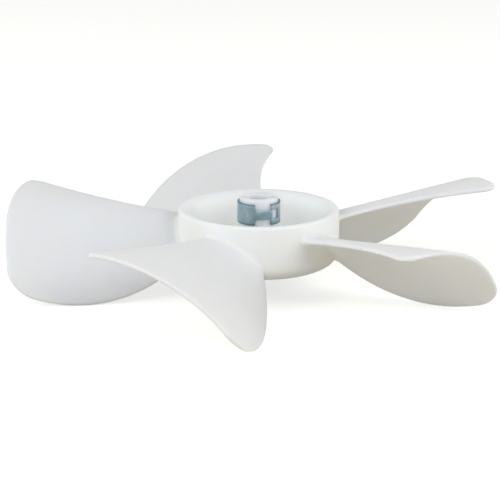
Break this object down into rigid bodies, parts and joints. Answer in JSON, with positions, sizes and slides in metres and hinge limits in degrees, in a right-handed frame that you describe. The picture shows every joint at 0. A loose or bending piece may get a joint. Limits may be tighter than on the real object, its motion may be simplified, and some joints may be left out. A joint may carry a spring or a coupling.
{
  "type": "condenser fan blade",
  "caption": "Moulded axial fan with wide cambered blades round an open hub cup, clamped on a motor shaft by a spring clip round its split boss.",
  "frame": {"origin": "on the shaft axis, level with the crest of the hub cup's rim", "axes": "+Z along the shaft axis, out of the open side of the hub cup; -Y towards the viewer; one blade points almost towards -Y"},
  "size_m": [0.1497, 0.152, 0.0292],
  "materials": {
    "plastic": "ivory-white moulded plastic with a satin skin",
    "spring_steel": "bright zinc-plated spring strip"
  },
  "bodies": {
    "root": {"fan_moulding": "plastic", "shaft_clip": "spring_steel"}
  },
  "joints": []
}
